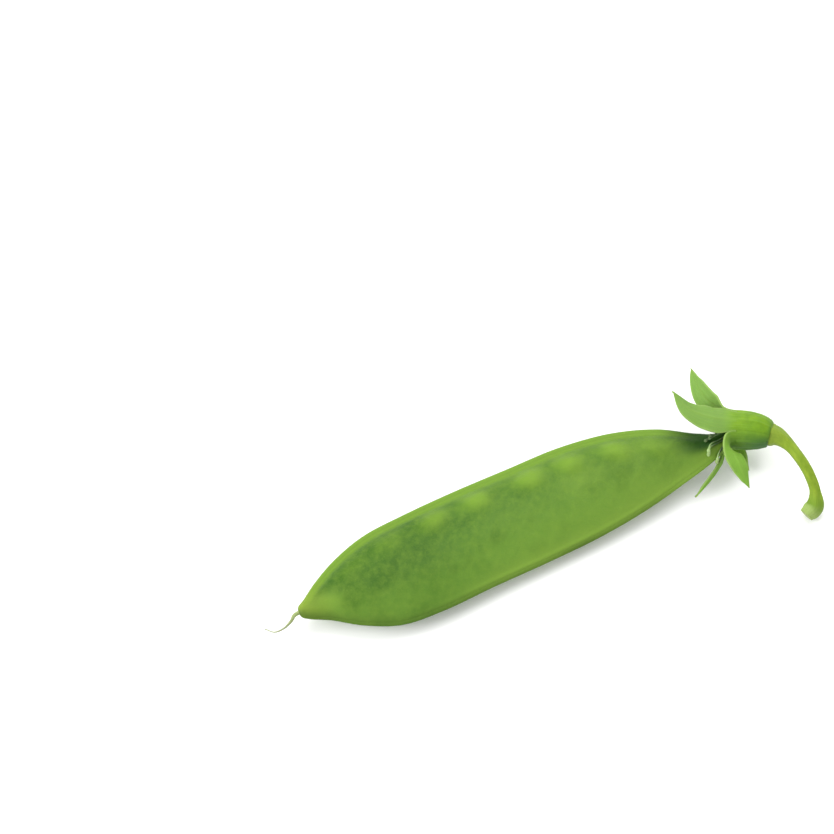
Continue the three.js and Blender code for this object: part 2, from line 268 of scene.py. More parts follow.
pod = {
    # place along the pod, height of the seed-bearing suture, height of the back suture
    "outline": [
        (-42.4, -0.3, -0.3), (-42.1, 0.8, -1.3), (-40.8, 1.7, -2.2), (-37.5, 4.2, -3.8), (-32.5, 7.1, -6.9),
        (-26.0, 9.5, -9.4), (-18.0, 10.6, -9.6), (-8.0, 11.4, -8.7), (3.0, 11.8, -8.0), (14.0, 12.0, -7.1),
        (24.0, 10.7, -5.6), (32.0, 7.9, -3.8), (38.0, 4.2, -2.3), (41.4, 2.5, -1.1), (43.2, 2.7, 0.0),
        (45.0, 2.6, 0.4), (46.6, 1.7, -0.2), (47.3, 0.5, 0.5),
    ],
    # both valves together, and how their lens thins with the width and towards the edges
    "thickness": 7.0, "widest": 20.2, "taperPower": 0.75, "archPower": 1.45, "lean": 0.15,
    # the middle plane: its height, how much each end lifts, and its twist in degrees
    "halfLength": 43.0, "bellyHeight": 3.1, "endLift": 2.0, "endLiftSkew": 0.95,
    "twistMiddle": 0.5, "twistPerEnd": 3.5,
    # the two ribs, and the lips of flat skin that they stand on; where the pod is slim they shrink with it
    "sutureLip": 1.0, "sutureLipShare": 0.12, "backLip": 0.5, "backLipShare": 0.06, "slimWidth": 4.0,
    "sutureHalfWidth": 1.0, "sutureHalfHeight": 0.78, "sutureWaver": 0.05, "sutureWaverSize": 6.0,
    "backHalfWidth": 0.8, "backHalfHeight": 0.45, "fillet": 0.8, "filletAt": (0.0, 0.3),
    "neckFrom": 37.0, "neckTo": 43.5,
    # seeds along the pod, how high each one swells, and the painted shade in the skin round them
    "seedPlaces": (-30.4, -22.2, -13.3, -4.4, 6.2, 14.0, 22.7, 29.7),
    "seedRise": (0.2, 0.35, 0.8, 0.85, 0.9, 0.85, 0.8, 0.5),
    "seedLength": 2.8, "seedBreadth": 2.3, "seedFromSuture": 4.2, "seedFlatness": 1.3, "seedFull": 0.85,
    "hollowFromSuture": 5.25, "hollowBreadth": 3.45, "hollowRun": 5.0, "hollowFull": 0.5,
    "hollowWidths": (8.0, 14.0),
    # slack skin between the seeds, and small puckers; both fade where the pod is narrow
    "dent": 0.10, "dentSize": 13.0, "pucker": 0.03, "puckerSize": 3.6,
    "slackPower": 1.2, "slackWidths": (3.0, 9.0), "lowerValveShift": 60.0,
    "veinHeight": 0.02, "veinPitch": 2.8, "veinWidth": 0.3, "veinsFrom": (1.0, 2.6),
    "veinWander": 1.1, "veinWanderSize": 9.0, "veinJitter": 0.4, "veinJitterSize": 3.0,
    # two crossing sets of veins: slant, side, how far they stray, how dense, how strong
    "veinSets": [(52.0, 1.0, 1.0, 1.0, 1.0), (23.4, -1.0, 1.6, 0.8, 0.5)],
    # pale spots, painted light near the beak and beside the calyx and paler skin between: place along the
    # pod, share of its width from the suture, length, breadth, strength
    "litAndPaleSpots": [
        (-36.5, 0.62, 2.8, 0.2, 1.0), (14.5, 0.45, 5.0, 0.13, 0.7), (24.0, 0.4, 2.5, 0.12, 0.65),
        (39.5, 0.85, 3.0, 0.2, 1.0),
    ],
    # place along the pod, how much painted shade the green gets
    "darkness": [
        (-42.0, 0.3), (-36.0, 0.75), (-31.0, 1.0), (-25.0, 0.7), (-18.0, 1.0), (-12.0, 0.4), (-7.0, 0.05),
    ],
    # painted shade over the seed-bearing half, the pale seed-bearing rim, a painted highlight along the back
    # rim, painted shadow on the neck under the calyx, the yellower beak; each pair is where a change starts
    # and ends
    "upperShare": (0.3, 0.95), "upperFade": 0.1, "upperFadeAt": (-6.0, 4.0), "lowerDarkness": 0.55,
    "rimBand": (1.2, 2.6), "backHighlightBand": (0.8, 2.9), "backHighlightAt": (-24.0, -2.0),
    "neckAt": (31.0, 38.0), "neckShare": (0.5, 0.75), "beakPaint": (-36.0, -42.4),
    # painted shade along the edge under the back rib: narrower past the beak, stronger at it and round one
    # spot
    "edgeStart": 0.2, "edgeEnd": 2.2, "edgeNarrowsAt": (-30.0, -5.0), "edgeStopsAt": (24.0, 34.0),
    "edgeBeak": 0.3, "edgeBeakAt": (-40.0, -33.0),
    "edgeSpot": 0.4, "edgeSpotAt": 10.0, "edgeSpotLength": 4.0,
    "rings": 440, "around": 208, "endCrowding": 0.3,
}


def middleHeight(x, y):
    # the middle plane between the valves: a shallow rocker with a slight twist
    s = x / pod["halfLength"]
    twist = np.radians(pod["twistMiddle"] + pod["twistPerEnd"] * s)
    return pod["bellyHeight"] + pod["endLift"] * s ** 2 + pod["endLiftSkew"] * s ** 3 + y * np.tan(twist)


def seedSwell(x, fromSuture):
    # a flat-topped hump over each seed
    across = (fromSuture - pod["seedFromSuture"]) / pod["seedBreadth"]
    swell = np.zeros_like(x)
    for place, rise in zip(pod["seedPlaces"], pod["seedRise"]):
        along = (x - place) / pod["seedLength"]
        swell += rise * np.exp(-(along ** 2 + across ** 2) ** pod["seedFlatness"])
    return swell


def seedHollowShade(x, fromSuture):
    # painted shade round the seeds: a band along their row, less the seeds themselves
    first, last, run = pod["seedPlaces"][0], pod["seedPlaces"][-1], pod["hollowRun"]
    band = np.exp(-((fromSuture - pod["hollowFromSuture"]) / pod["hollowBreadth"]) ** 2)
    inside = smooth(x, first - run, first) * (1.0 - smooth(x, last, last + run))
    return band * inside * (1.0 - np.clip(seedSwell(x, fromSuture) / pod["hollowFull"], 0.0, 1.0))


def ribRise(fromEdge, halfWidth, halfHeight):
    # a round rib that starts at its edge
    off = fromEdge / np.maximum(halfWidth, 1e-6) - 1.0
    return halfHeight * np.sqrt(np.maximum(0.0, 1.0 - off ** 2))


def valveArch(width, fromSuture):
    # lean goes from 1 at the seed-bearing rib to -1 at the back rib; the arch is a half circle over it
    lip = np.minimum(pod["sutureLip"], pod["sutureLipShare"] * width)
    backLip = np.minimum(pod["backLip"], pod["backLipShare"] * width)
    lean = 1.0 - 2.0 * (fromSuture - lip) / (width - lip - backLip)
    return lean, np.sqrt(np.maximum(0.0, 1.0 - lean ** 2))


def valveRise(x, width, fromSuture):
    # a lens that is thicker near the seed-bearing suture and swollen over the seeds
    lean, arch = valveArch(width, fromSuture)
    full = pod["thickness"] * np.minimum(1.0, width / pod["widest"]) ** pod["taperPower"]
    return arch ** pod["archPower"] * (0.5 * full * (1.0 + pod["lean"] * lean) + seedSwell(x, fromSuture))


def neckRise(x, width, fromSuture, rise):
    # the valve's height, which turns into a round neck inside the calyx
    neck = np.sqrt(np.maximum(0.0, fromSuture * (width - fromSuture)))
    return rise + (neck - rise) * smooth(x, pod["neckFrom"], pod["neckTo"])


def veinLines(x, y, fromSuture):
    # lines that slant back from the suture, wander, and cross a second, fainter set
    wander = pod["veinWander"] * ripple(x, y, pod["veinWanderSize"], seed=5)
    wander = wander + pod["veinJitter"] * ripple(x, y, pod["veinJitterSize"], seed=6)
    lines = np.zeros_like(x)
    for slant, side, stray, density, strength in pod["veinSets"]:
        along, down = math.sin(math.radians(slant)), side * math.cos(math.radians(slant))
        phase = density * (x * along + (fromSuture + stray * wander) * down) / pod["veinPitch"]
        off = np.abs(phase - np.round(phase)) * pod["veinPitch"] / pod["veinWidth"]
        lines = np.maximum(lines, strength * np.exp(-off ** 2))
    return lines * smooth(fromSuture, *pod["veinsFrom"])


def podShade(x, share):
    # painted shade: most near the beak, then along the seed-bearing half
    tip = np.interp(x, *np.array(pod["darkness"]).T)
    upper = 1.0 - smooth(share, *pod["upperShare"])
    along = 1.0 - pod["upperFade"] * smooth(x, *pod["upperFadeAt"])
    lower = pod["lowerDarkness"]
    return 0.5 * upper * along + 0.5 * tip * (lower + (1.0 - lower) * upper)


def podTints(x, share, fromSuture, fromBack, slim):
    # where the green changes: painted shade over the seed-bearing half and along the lower edge, a painted
    # highlight along the back rim, painted shadow on the neck under the calyx, painted light and paler skin
    # in the pale spots, and the seed-bearing rim's pale band
    litAndPale = 0.0 * share
    for atX, atShare, length, breadth, strength in pod["litAndPaleSpots"]:
        litAndPale = litAndPale + strength * np.exp(-((x - atX) / length) ** 2 - ((share - atShare) / breadth) ** 2)
    edge = 1.0 - smooth(fromBack, pod["edgeStart"], pod["edgeEnd"] - smooth(x, *pod["edgeNarrowsAt"]))
    edge = edge * (1.0 - smooth(x, *pod["edgeStopsAt"]))
    beak = pod["edgeBeak"] * (1.0 - smooth(x, *pod["edgeBeakAt"]))
    spot = pod["edgeSpot"] * np.exp(-((x - pod["edgeSpotAt"]) / pod["edgeSpotLength"]) ** 2)
    rimStart, rimEnd = pod["rimBand"]
    backStart, backEnd = pod["backHighlightBand"]
    return {
        "shade": podShade(x, share),
        "rim": 1.0 - smooth(fromSuture, rimStart * slim, rimEnd * slim),
        "backHighlight": (1.0 - smooth(fromBack, backStart * slim, backEnd * slim)) * smooth(x, *pod["backHighlightAt"]),
        "edge": edge * (1.0 + beak + spot),
        "neck": smooth(x, *pod["neckAt"]) * (1.0 - smooth(share, *pod["neckShare"])),
        "litAndPale": litAndPale,
    }


def podSkin():
    # rings across both valves, closer together towards the ends
    share = np.linspace(0.0, 1.0, pod["rings"] + 2)[1:-1]
    eased = share + pod["endCrowding"] * (smooth(share, 0.0, 1.0) - share)
    outline = np.array(pod["outline"])
    station = evenStations(outline[:, [0, 1]], eased)
    high = splineAt(outline[:, [0, 1]], station)[:, None, :]
    low = splineAt(outline[:, [0, 2]], station)[:, None, :]
    turn = 2.0 * math.pi * (np.arange(pod["around"])[None, :] + 0.5) / pod["around"]
    across = 0.5 - 0.5 * np.cos(turn)
    x = high[..., 0] + (low[..., 0] - high[..., 0]) * across
    y = high[..., 1] + (low[..., 1] - high[..., 1]) * across
    side = np.sign(np.sin(turn))
    width = np.maximum(high[..., 1] - low[..., 1], 1e-4)
    fromSuture = width * across
    fromBack = width - fromSuture
    slim = np.minimum(1.0, width / pod["slimWidth"])

    # the valve, with slack skin between the seeds, small puckers and veins, other ones on each valve
    arch = valveArch(width, fromSuture)[1]
    slack = arch ** pod["slackPower"] * smooth(width, *pod["slackWidths"])
    other = y + pod["lowerValveShift"] * (side < 0.0)
    veins = slack * veinLines(x, other, fromSuture)
    valve = valveRise(x, width, fromSuture) + pod["veinHeight"] * veins
    valve += slack * pod["dent"] * ripple(x, other, pod["dentSize"], seed=3)
    valve += slack * pod["pucker"] * ripple(x, other, pod["puckerSize"], seed=4)

    # the two ribs, a fillet beside them, and the flat spot that the pod rests on
    rib = ribRise(fromSuture, slim * pod["sutureHalfWidth"], slim * pod["sutureHalfHeight"])
    rib = rib * (1.0 + pod["sutureWaver"] * ripple(x, 0.0 * y, pod["sutureWaverSize"], seed=7))
    backRib = ribRise(fromBack, slim * pod["backHalfWidth"], slim * pod["backHalfHeight"])
    rise = blendMax(valve, np.maximum(rib, backRib), pod["fillet"] * slim * smooth(arch, *pod["filletAt"]))
    rise = neckRise(x, width, fromSuture, rise)
    z = np.maximum(0.0, middleHeight(x, y) + side * rise)

    masks = {
        # pale over the seeds: partly their own paler skin, partly painted highlight
        "seed": arch * np.clip(seedSwell(x, fromSuture) / pod["seedFull"], 0.0, 1.0),
        "hollow": seedHollowShade(x, fromSuture) * smooth(width, *pod["hollowWidths"]),
        "vein": veins,
        **podTints(x, fromSuture / width, fromSuture, fromBack, slim),
    }
    poles = [(place, height, middleHeight(place, height)) for place, height in outline[[0, -1], :2]]
    return closedTube(np.stack([x, y, z], -1), poles, masks)


def podGreen():
    f = Finish("podGreen")
    clouds = f.grain(16.0, 2.0)
    blotches = f.grain(4.6, 1.6, 0.5)
    mottle = f.grain(1.3, 4.0, 0.6)
    speckle = f.grain(0.35, 2.0, 0.6)
    cells = f.net(1.0, f.wandering(0.5, 1.5, (1.0, 1.5, 1.0)))
    along = f.add("ShaderNodeSeparateXYZ", {"Vector": f.place}).outputs[0]
    # painted shade under the seed-bearing suture and towards the beak, dark blotches that grow with it,
    # painted shade round the seeds, the pale spots, with the pale grain of the skin over it
    color = f.blend(f.range(clouds, 0.35, 0.65), paint(110, 154, 54), paint(124, 164, 60))
    color = f.tinted(color, [("shade", 0.95, (56, 100, 18))])
    strength = f.range(f.mask("shade"), 0.0, 0.8, 0.12, 0.7)
    patches = f.maths("MULTIPLY", f.range(blotches, 0.48, 0.66), strength)
    color = f.blend(patches, color, paint(52, 98, 20))
    color = f.tinted(color, [("hollow", 0.55, (70, 116, 20)), ("litAndPale", 0.7, (132, 170, 60))])
    color = f.blend(f.range(mottle, 0.4, 0.7, 0.0, 0.26), color, paint(136, 172, 60))
    color = f.tinted(color, [("vein", 0.08, (134, 172, 66))])
    color = f.blend(f.range(cells, 0.0, 0.1, 0.07, 0.0), color, paint(134, 172, 62))
    color = f.blend(f.range(speckle, 0.55, 0.8, 0.0, 0.2), color, paint(138, 172, 70))
    # the seeds paler, partly their skin and partly painted highlight, the pale seed-bearing rib, a painted
    # highlight along the back rib, painted shadow on the neck under the calyx, a yellower beak
    color = f.tinted(color, [
        ("seed", 0.68, (140, 180, 50)), ("rim", 0.8, (128, 168, 52)), ("backHighlight", 0.65, (140, 178, 66)),
        ("neck", 0.88, (22, 70, 16)),
    ])
    beakFrom, beakTo = (place * mm for place in pod["beakPaint"])
    color = f.blend(f.range(along, beakFrom, beakTo, 0.0, 0.7), color, paint(144, 166, 58))
    # painted shade along the lower edge under the back rib
    color = f.tinted(color, [("edge", 0.55, (76, 106, 32))])
    rough = f.range(mottle, 0.3, 0.7, 0.4, 0.52)
    normal = f.bump(speckle, 0.02)
    normal = f.bump(f.range(cells, 0.0, 0.15, 1.0, 0.0), 0.012, normal)
    return f.finish(color, rough, normal, Subsurface_Weight=0.12, Subsurface_Scale=1.0 * mm,
                    Subsurface_Radius=leafRadius, Specular_IOR_Level=0.12)


dress(putMesh("pod_skin", [podSkin()]), "pod", podGreen())
print("pod grown")


calyx = {
    # the middle of the cup's mouth, and the way that its axis runs back to the stem
    "mouth": (44.9, 1.7, 6.65), "axis": (0.88, -0.45, 0.06),
    "cupLength": 6.4, "cupRadius": 3.6, "cupWall": 0.62, "endRadius": 2.3, "rootDepth": 1.6,
    "fullness": 3.0, "rounding": 0.8, "bendFrom": 1.0, "bend": 14.0,
    # angle round the mouth, full breadth, hollow, turn about the midrib, paleness,
    # and the midrib's route after the mouth: forward over the pod, out from the axis, angle
    "lobes": [
        (12, 5.8, 0.6, 65, 0.9, [(5.0, 5.2, 10), (7.5, 8.8, 7), (8.7, 11.8, 6)]),
        (86, 6.2, 0.8, 0, 1.0, [(4.4, 4.5, 90), (8.8, 5.9, 82), (12.0, 8.0, 62)]),
        (152, 4.8, 0.5, 60, 0.4, [(0.8, 4.7, 158), (-0.8, 7.6, 172), (-2.8, 11.0, 190)]),
        (218, 2.8, 0.4, 30, 0.3, [(1.5, 4.9, 213), (3.8, 8.7, 203), (6.9, 12.8, 199)]),
        (284, 4.4, 0.4, -30, 0.0, [(1.0, 4.1, 276), (-0.8, 5.3, 252), (-2.8, 7.8, 223)]),
    ],
    # a lobe's skin, how far it stands off its route, its keel and its veins
    "skin": 0.34, "lift": 0.2, "keel": 0.12, "keelHalfWidth": 0.22,
    "veins": 9, "veinHeight": 0.035, "veinCrowding": 0.9, "veinSharpness": 8, "veinsFromTip": (0.04, 0.4),
    # a lobe's breadth: a root that thins out, plus a belly that rises and falls by these powers
    "rootSpread": 0.7, "belly": 1.35, "bellyRise": 0.7, "bellyFall": 0.9, "tipWidth": 0.08,
    "waver": 0.04, "waverRun": 12.0, "waverSize": 2.4, "ruffle": 0.22, "ruffleRun": 14.0, "ruffleSize": 3.4,
    "edgeShift": 3.0, "twistAlong": (0.1, 0.7), "openRun": 0.3, "flare": 0.1,
    # the cup: keels that run on into the lobes, grooves between them, and shallow dents
    "cupKeel": 0.04, "cupKeelWidth": 0.12, "cupKeelRadii": (0.8, 2.6),
    "cupGroove": 0.6, "cupGrooveWidth": 0.1, "cupVeins": (-4.5, -0.5),
    "dent": 0.09, "dentSize": 3.5, "dentFrom": (0.3, 1.5), "discFrom": 0.15, "discDome": 0.12,
    # where the paints of a lobe start and end, as shares of its length or breadth
    "lobePaint": 0.25, "palePaint": 0.2, "edgePaint": (0.86, 1.0),
    # painted shade, darker and cooler, on the cup's lower side: its angle, how it fades with the angle, its
    # share at the mouth and at the stem, and the painted shade at the heel
    "nearAngle": 200.0, "nearFade": (-0.2, 0.9), "nearMouth": 0.5, "nearBack": (-1.0, 5.5),
    "heelShade": 0.4, "heelBack": (5.4, 6.4),
    "columns": 44, "cupRows": 46, "cupCrowding": 1.4, "discRows": 8, "lobeRows": 110, "lobeCrowding": 1.15,
}
axis = unit(np.array(calyx["axis"]))
ventral = unit(np.cross((0.0, 0.0, 1.0), axis))
headWays = np.stack([ventral, np.cross(axis, ventral), axis])


def fromHead(local):
    # x and y across the mouth of the calyx and z back along the stem, as places in the scene
    return np.asarray(calyx["mouth"]) + np.asarray(local, float) @ headWays


def bentBack(local):
    # the calyx's axis runs on as an arc behind the bend's start, towards its own -x
    x, y, back = np.moveaxis(np.asarray(local, float), -1, 0)
    run = calyx["cupLength"] - calyx["bendFrom"]
    turn = math.radians(calyx["bend"]) * np.maximum(0.0, back - calyx["bendFrom"]) / run
    arc = run / math.radians(calyx["bend"])
    side = x * np.cos(turn) - arc * (1.0 - np.cos(turn))
    rise = np.minimum(back, calyx["bendFrom"]) + (arc + x) * np.sin(turn)
    return np.stack([side, y, rise], -1)


def lobePoint(forward, out, angle):
    # a place round the calyx's axis: forward of its mouth, out from the axis, and an angle round it
    turn = np.radians(angle)
    return np.stack(np.broadcast_arrays(out * np.cos(turn), out * np.sin(turn), -1.0 * forward), -1)


def cupSection(back):
    # the cup's radius: full at the mouth, rounding in towards the stem
    share = np.clip(back / calyx["cupLength"], 0.0, 1.0)
    full = (1.0 - share ** calyx["fullness"]) ** calyx["rounding"]
    return calyx["endRadius"] + (calyx["cupRadius"] - calyx["endRadius"]) * full


def nearSide(turn):
    # painted shade, darker and cooler, on the cup's low side away from the seed-bearing suture
    return smooth(np.cos(np.radians(turn - calyx["nearAngle"])), *calyx["nearFade"])


def veinComb(u):
    # 1 along each vein and near 0 between; the veins stand closer together towards the edges
    phase = math.pi * calyx["veins"] * np.abs(u) ** calyx["veinCrowding"]
    return np.cos(phase) ** calyx["veinSharpness"]


def lobeBlade(lobe, turn, u):
    # rows from the cup's rim to the tip: an arc of the rim flattens into a pointed, hollow, ruffled blade
    angle, breadth, hollow, twist, pale, route = lobe
    wall = calyx["cupRadius"] - 0.5 * calyx["cupWall"]
    path = [lobePoint(-calyx["rootDepth"], wall, angle), lobePoint(0.0, wall, angle)]
    path += [lobePoint(*place) for place in route]
    fine = splineAt(path, np.linspace(0.0, 1.0, 400))
    length = np.linalg.norm(np.diff(fine, axis=0), axis=1).sum()
    rim = calyx["rootDepth"] / length
    s = rim + (1.0 - rim) * np.linspace(0.0, 1.0, calyx["lobeRows"] + 1)[1:] ** calyx["lobeCrowding"]
    side = (-math.sin(math.radians(angle)), math.cos(math.radians(angle)), 0.0)
    centre, _, across, out = carriedFrames(path, side, np.concatenate([[0.0], s]))
    centre, across, out = centre[1:], across[1:], out[1:]
    lean = (np.radians(twist) * smooth(s, *calyx["twistAlong"]))[:, None]
    across, out = across * np.cos(lean) + out * np.sin(lean), out * np.cos(lean) - across * np.sin(lean)

    belly = calyx["belly"] * s ** calyx["bellyRise"] * (1.0 - s) ** calyx["bellyFall"]
    spread = calyx["rootSpread"] * (1.0 - s) + belly
    waver = 1.0 + calyx["waver"] * ripple(calyx["waverRun"] * s, 0.0 * s, calyx["waverSize"], seed=angle)
    half = (0.5 * np.maximum(calyx["tipWidth"], breadth * spread * waver))[:, None]
    s, spread = s[:, None], spread[:, None]
    ridge = np.exp(-(u * half / calyx["keelHalfWidth"]) ** 2) * (1.0 - s) ** 0.5
    lines = veinComb(u) * smooth(1.0 - s, *calyx["veinsFromTip"])
    rise = calyx["lift"] - hollow * spread * u ** 2 + calyx["keel"] * ridge + calyx["veinHeight"] * lines
    # the ruffle grows towards the edges, and the two edges have their own
    along = calyx["ruffleRun"] * s + calyx["edgeShift"] * np.sign(u)
    ruffle = ripple(along, angle + 0.0 * u, calyx["ruffleSize"], seed=angle + 1)
    rise += calyx["ruffle"] * spread * np.abs(u) ** 3 * ruffle
    blade = swept(centre, across, out, half * u, rise)

    forward = (s - rim) * length
    radius = calyx["cupRadius"] + calyx["flare"] * forward + calyx["veinHeight"] * lines
    arc = lobePoint(forward, radius, turn)
    green = smooth(s, rim, rim + calyx["lobePaint"]) + 0.0 * u
    masks = {
        "lobe": green,
        "vein": np.maximum(lines, ridge),
        "rim": smooth(np.abs(u), *calyx["edgePaint"]) + 0.0 * s,
        "tip": smooth(s, *calyx["edgePaint"]) + 0.0 * u,
        "pale": pale * smooth(s, rim, rim + calyx["palePaint"]) + 0.0 * u,
        "under": calyx["nearMouth"] * nearSide(turn) * (1.0 - green),
    }
    return arc + (blade - arc) * smooth(s, rim, rim + calyx["openRun"])[..., None], masks


def calyxSheet():
    # one skin: a cup closed at the stem, whose rim runs on into five lobes with a notch between neighbours
    middles = [lobe[0] for lobe in calyx["lobes"]]
    before = [middles[-1] - 360.0] + middles[:-1]
    after = middles[1:] + [middles[0] + 360.0]
    columns = calyx["columns"]
    u = np.linspace(-1.0, 1.0, columns + 1)
    turns = []
    for low, angle, high in zip(before, middles, after):
        # each lobe's share of the rim ends half way to its neighbours
        start, stop = 0.5 * (low + angle), 0.5 * (angle + high)
        turns.append(angle + 0.5 * (stop - start) * u + (0.5 * (start + stop) - angle) * u ** 2)
    turn = np.concatenate([row[:-1] for row in turns])
    reach = np.tile(u[:-1], len(turns))

    # rings of the closed end, then of the cup, closer together at the mouth
    disc = np.linspace(calyx["discFrom"], 1.0, calyx["discRows"])[:-1]
    back = calyx["cupLength"] * (1.0 - np.linspace(0.0, 1.0, calyx["cupRows"]) ** calyx["cupCrowding"])
    radius = np.concatenate([calyx["endRadius"] * disc, cupSection(back)])[:, None]
    back = np.concatenate([calyx["cupLength"] + calyx["discDome"] * (1.0 - disc ** 2), back])[:, None]
    groove = calyx["cupGroove"] * np.exp(-((1.0 - np.abs(reach)) / calyx["cupGrooveWidth"]) ** 2)
    keel = np.exp(-(reach / calyx["cupKeelWidth"]) ** 2) - groove
    lines = veinComb(reach) * smooth(-back, *calyx["cupVeins"])
    dents = calyx["dent"] * ripple(radius * np.radians(turn), back, calyx["dentSize"], seed=12)
    keelHeight = calyx["cupKeel"] * smooth(radius, *calyx["cupKeelRadii"])
    radius = radius * (1.0 + keelHeight * keel) + calyx["veinHeight"] * lines
    radius = radius + dents * smooth(back, *calyx["dentFrom"]) * smooth(calyx["cupLength"] - back, 0.0, 1.0)
    cup = bentBack(lobePoint(-back, radius, turn))
    rows, around = cup.shape[:2]
    zero = np.zeros((rows, around))
    # painted shade on the low side, stronger towards the stem, and at the heel
    near = calyx["nearMouth"] + (1.0 - calyx["nearMouth"]) * smooth(back, *calyx["nearBack"])
    heel = calyx["heelShade"] * smooth(back, *calyx["heelBack"])
    masks = {"lobe": zero, "vein": lines, "rim": zero, "tip": zero, "pale": zero}
    masks["under"] = np.maximum(nearSide(turn) * near, heel)

    ids = wrappedIds(rows, around)
    points = [cup.reshape(-1, 3), bentBack([[0.0, 0.0, calyx["cupLength"] + calyx["discDome"]]])]
    masks = {key: [value.ravel(), [0.0]] for key, value in masks.items()}
    count = rows * around + 1
    faces = [gridFaces(ids[:, ::-1]), fanFaces(count - 1, ids[0])]
    for k, lobe in enumerate(calyx["lobes"]):
        blade, own = lobeBlade(lobe, turns[k], u)
        more = count + np.arange(blade.shape[0] * (columns + 1)).reshape(-1, columns + 1)
        root = ids[-1:, k * columns:(k + 1) * columns + 1]
        faces.append(gridFaces(np.concatenate([root, more])[:, ::-1]))
        points.append(blade.reshape(-1, 3))
        for key in masks:
            masks[key].append(own[key].ravel())
        count += more.size
    masks = {key: np.concatenate(blocks) for key, blocks in masks.items()}
    return fromHead(np.concatenate(points)), faces, masks


def calyxGreen():
    f = Finish("calyxGreen")
    mottle = f.grain(1.6, 4.0, 0.6)
    speckle = f.grain(0.3, 2.0, 0.6)
    color = f.blend(f.range(mottle, 0.35, 0.65), paint(116, 162, 34), paint(134, 178, 36))
    # the lobes, their pale blades, veins, rims and tips, and painted shade on the cup's low side
    color = f.tinted(color, [
        ("lobe", 0.9, (144, 202, 62)), ("pale", 0.75, (132, 170, 88)), ("vein", 0.4, (156, 194, 84)),
        ("rim", 0.6, (170, 202, 112)), ("tip", 0.4, (146, 172, 72)), ("under", 0.85, (58, 108, 58)),
    ])
    rough = f.range(mottle, 0.3, 0.7, 0.45, 0.58)
    return f.finish(color, rough, f.bump(speckle, 0.02), Subsurface_Weight=0.15, Subsurface_Scale=0.8 * mm,
                    Subsurface_Radius=leafRadius, Specular_IOR_Level=0.12)


def makeCalyx():
    piece = putMesh("calyx_leaf", [calyxSheet()])
    wall = piece.modifiers.new("wall", "SOLIDIFY")
    wall.thickness = calyx["skin"] * mm
    wall.offset = -1.0
    dress(piece, "calyx", calyxGreen())


makeCalyx()
print("calyx grown")


stamens = {
    "radius": 1.92, "wall": 0.16, "depth": 2.8, "front": 0.4, "columns": 180, "rows": 26, "deepFade": 0.5,
    # the torn side: its strips, how far they reach and stand off, its angle and how it fades with the angle
    "strips": 36, "strip": 2.6, "stripSpread": 0.25, "tornAngle": 128.0, "tornFade": (0.2, 0.9),
    "crinkle": 0.14, "crinkleSize": 3.0, "crinkleTurn": 9.0, "crinkleRun": 4.0,
    # forward over the pod, out from the axis, angle
    "threads": [
        [(1.4, 2.2, 112), (3.6, 2.9, 128), (6.4, 3.6, 146)],
        [(1.2, 2.4, 140), (3.4, 3.5, 157), (5.2, 4.4, 165), (5.6, 5.9, 174)],
        [(0.9, 2.9, 158), (2.4, 4.2, 166), (3.2, 5.5, 175), (3.3, 6.5, 184)],
    ],
    # painted shade inside the calyx: how much of it each thread keeps up to its end
    "shaded": [0.85, 0.0, 0.0],  # how dark each thread stays up to its end
    # each copy is turned, fanned out and shortened by its own draw, up to these amounts
    "copies": 3, "rootScatter": 7.0, "scatter": 8.0, "fan": 5.0, "shorter": 0.25,
    "threadRoots": (-1.6, -0.5), "threadRadius": 0.15, "threadTaper": 0.3, "flatness": 0.15, "winding": 6.0,
    "antherRise": 0.2, "antherAt": 0.95, "antherLength": 0.045, "antherAge": 0.6, "roundEnd": 0.02,
    "clear": 0.08, "fillet": 0.2, "deepTo": (0.66, 0.88), "threadRows": 60, "threadAround": 12,
}


def podTop(x, y):
    # the height of the pod's upper face under a place, and 10 mm under the floor where there is no pod
    outline = np.array(pod["outline"])
    fine = np.linspace(0.0, 1.0, 2000)
    high = np.interp(x, *splineAt(outline[:, [0, 1]], fine).T)
    low = np.interp(x, *splineAt(outline[:, [0, 2]], fine).T)
    width = np.maximum(high - low, 1e-3)
    fromSuture = np.clip(high - y, 0.0, width)
    rise = neckRise(x, width, fromSuture, valveRise(x, width, fromSuture))
    return np.where((fromSuture > 0.0) & (fromSuture < width), middleHeight(x, y) + rise, -10.0)


def stamenSheath():
    # a papery tube round the pod's neck, torn into strips on the upper side
    turn = np.linspace(0.0, 360.0, stamens["columns"], endpoint=False)
    draw = np.random.default_rng(21)
    cuts = np.linspace(0.0, 360.0, stamens["strips"] + 1)
    torn = np.interp(turn, cuts, draw.uniform(0.1, 1.0, len(cuts)))
    torn = torn * smooth(np.cos(np.radians(turn - stamens["tornAngle"])), *stamens["tornFade"])
    share = np.linspace(0.0, 1.0, stamens["rows"])[:, None]
    forward = -stamens["depth"] + (stamens["depth"] - stamens["front"] + stamens["strip"] * torn) * share
    around, along = turn / stamens["crinkleTurn"], stamens["crinkleRun"] * share
    crinkle = stamens["crinkle"] * share * ripple(around, along, stamens["crinkleSize"], seed=22)
    radius = stamens["radius"] + crinkle + stamens["stripSpread"] * torn * share ** 2
    half = 0.5 * stamens["wall"]
    outer, inner = (fromHead(lobePoint(forward, radius + off, turn)) for off in (half, -half))
    # out along the outer face and back along the inner one, closed round the ends
    grid = np.concatenate([outer, inner[::-1]])
    ids = wrappedIds(*grid.shape[:2])
    ids = np.concatenate([ids, ids[:1]])
    age = share + 0.0 * turn
    age = np.concatenate([age, age[::-1]]).ravel()
    # painted shade inside the calyx, most at the sheath's inner end
    masks = {"age": age, "deepShade": 1.0 - stamens["deepFade"] * age}
    return grid.reshape(-1, 3), [gridFaces(ids[:, ::-1])], masks


